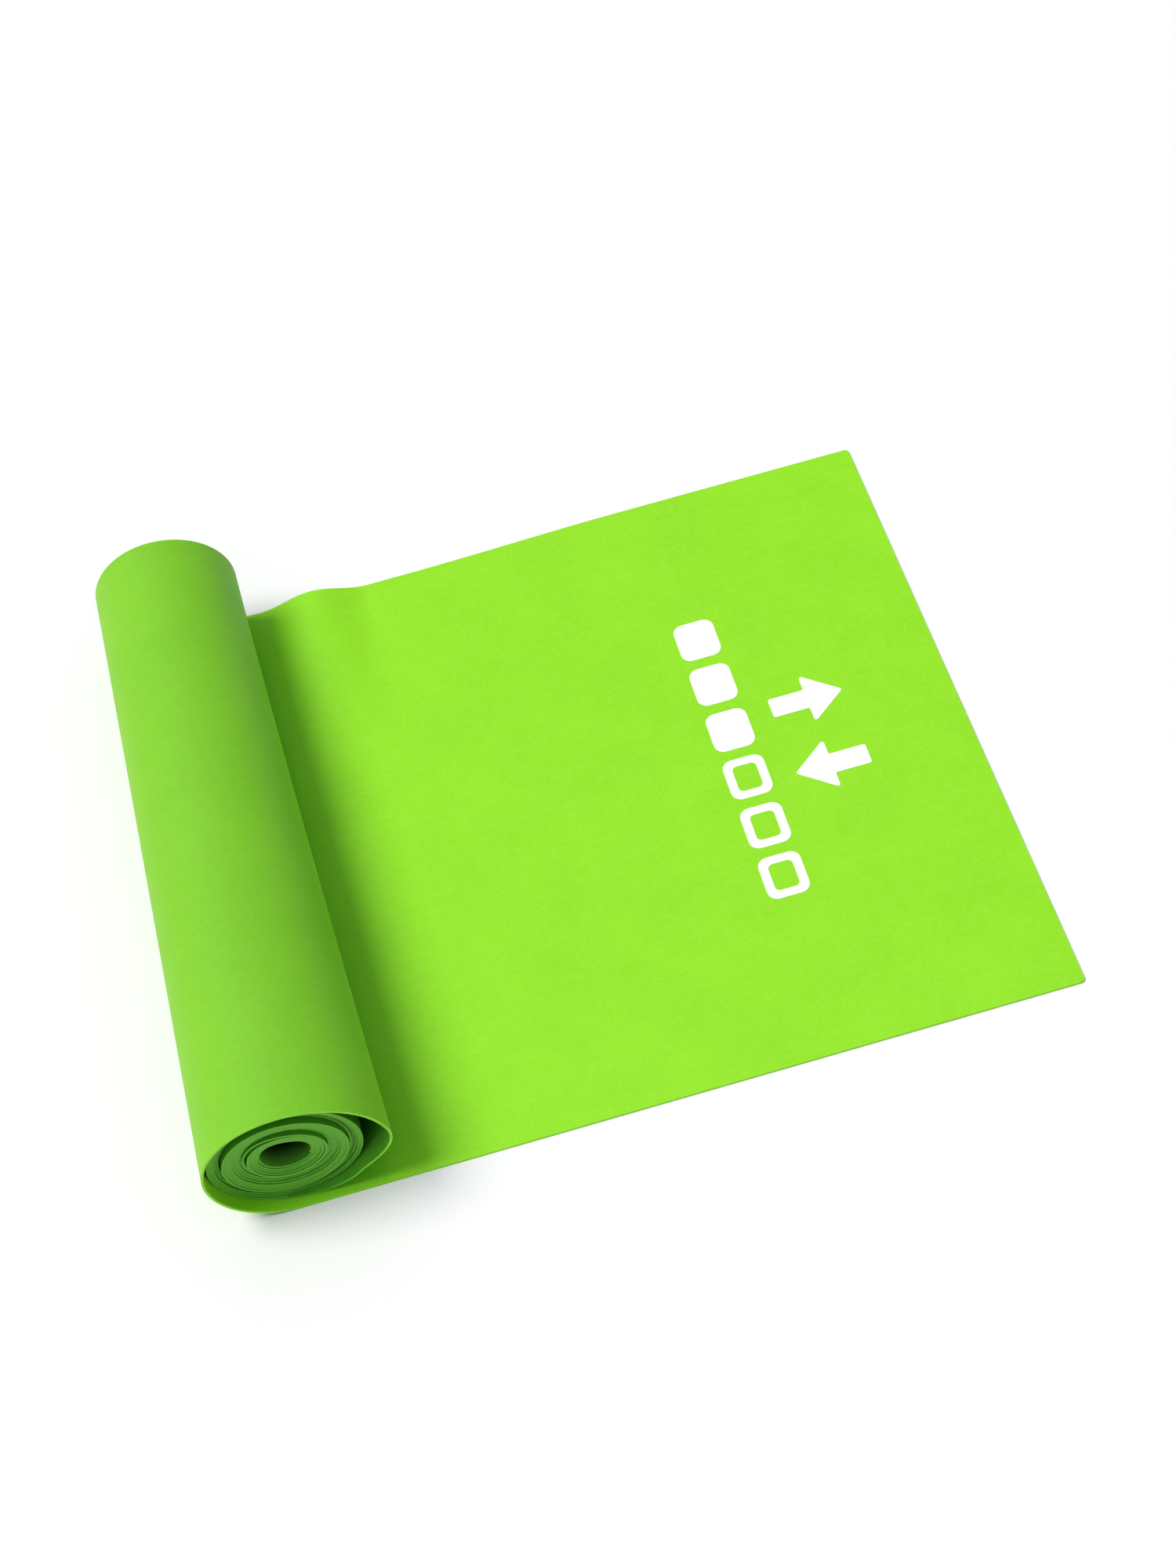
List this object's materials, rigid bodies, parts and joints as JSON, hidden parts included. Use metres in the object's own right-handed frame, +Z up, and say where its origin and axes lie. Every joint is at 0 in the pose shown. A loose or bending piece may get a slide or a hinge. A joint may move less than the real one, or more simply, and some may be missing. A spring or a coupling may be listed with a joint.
{
  "type": "resistance band",
  "caption": "Wide flat elastic exercise band, wound into a roll at one end with a length drawn out flat along the floor, to be gripped and stretched.",
  "frame": {"origin": "middle of the bottom of the object's box, on the floor plane the band lies on", "axes": "+X along the band from the roll to the free end, +Y across the band's width, +Z up from the floor"},
  "size_m": [0.1736, 0.15, 0.0348],
  "materials": {
    "band": "matte lime-green latex sheet with a fine powdery bloom",
    "ink": "matte white screen-printed ink"
  },
  "bodies": {
    "roll": {"outer_wrap": "band"},
    "wound_turns": {"turns_outer": "band", "turns_middle": "band", "turns_core": "band"},
    "pulled_strip": {"strip_1": "band"},
    "stretched_strip": {"strip_2": "band"},
    "lifted_panel_1": {"strip_3": "band"},
    "lifted_panel_2": {"strip_4": "band"},
    "lifted_panel_3": {"strip_5": "band"},
    "lifted_panel_4": {"strip_6": "band", "level_mark_1": "ink", "level_mark_2": "ink", "level_mark_3": "ink", "level_mark_4": "ink", "level_mark_5": "ink", "level_mark_6": "ink"},
    "lifted_panel_5": {"strip_7": "band", "pull_arrow_1": "ink", "pull_arrow_2": "ink"},
    "lifted_panel_6": {"strip_8": "band"},
    "lifted_panel_7": {"strip_9": "band"}
  },
  "joints": [
    {"name": "pull_out", "type": "slide", "parent": "roll", "child": "pulled_strip", "axis": [1, 0, 0], "range_m": [0, 0.1]},
    {"name": "roll_spin", "type": "hinge", "parent": "roll", "child": "wound_turns", "pos_m": [-0.07043, 0, 0.01565], "axis": [0.01, -0.9999, 0], "range_deg": [0, 360]},
    {"name": "stretch", "type": "slide", "parent": "pulled_strip", "child": "stretched_strip", "axis": [1, 0, 0], "range_m": [0, 0.1], "stiffness_N_per_m": 155},
    {"name": "end_lift_1", "type": "hinge", "parent": "stretched_strip", "child": "lifted_panel_1", "pos_m": [-0.01018, 0, 0.00025], "axis": [0, -1, 0], "range_deg": [0, 20]},
    {"name": "end_lift_2", "type": "hinge", "parent": "lifted_panel_1", "child": "lifted_panel_2", "pos_m": [0.00382, 0, 0.00025], "axis": [0, -1, 0], "range_deg": [0, 20]},
    {"name": "end_lift_3", "type": "hinge", "parent": "lifted_panel_2", "child": "lifted_panel_3", "pos_m": [0.01783, 0, 0.00025], "axis": [0, -1, 0], "range_deg": [0, 20]},
    {"name": "end_lift_4", "type": "hinge", "parent": "lifted_panel_3", "child": "lifted_panel_4", "pos_m": [0.03132, 0, 0.00025], "axis": [0, -1, 0], "range_deg": [0, 20]},
    {"name": "end_lift_5", "type": "hinge", "parent": "lifted_panel_4", "child": "lifted_panel_5", "pos_m": [0.04582, 0, 0.00025], "axis": [0, -1, 0], "range_deg": [0, 20]},
    {"name": "end_lift_6", "type": "hinge", "parent": "lifted_panel_5", "child": "lifted_panel_6", "pos_m": [0.06682, 0, 0.00025], "axis": [0, -1, 0], "range_deg": [0, 20]},
    {"name": "end_lift_7", "type": "hinge", "parent": "lifted_panel_6", "child": "lifted_panel_7", "pos_m": [0.07683, 0, 0.00025], "axis": [0, -1, 0], "range_deg": [0, 20]}
  ],
  "couplings": [
    {"joint": "roll_spin", "follows": "pull_out", "rad_per_m": 62.8},
    {"joint": "end_lift_2", "follows": "end_lift_1", "ratio": 1},
    {"joint": "end_lift_3", "follows": "end_lift_1", "ratio": 1},
    {"joint": "end_lift_4", "follows": "end_lift_1", "ratio": 1},
    {"joint": "end_lift_5", "follows": "end_lift_1", "ratio": 1},
    {"joint": "end_lift_6", "follows": "end_lift_1", "ratio": 1},
    {"joint": "end_lift_7", "follows": "end_lift_1", "ratio": 1}
  ]
}
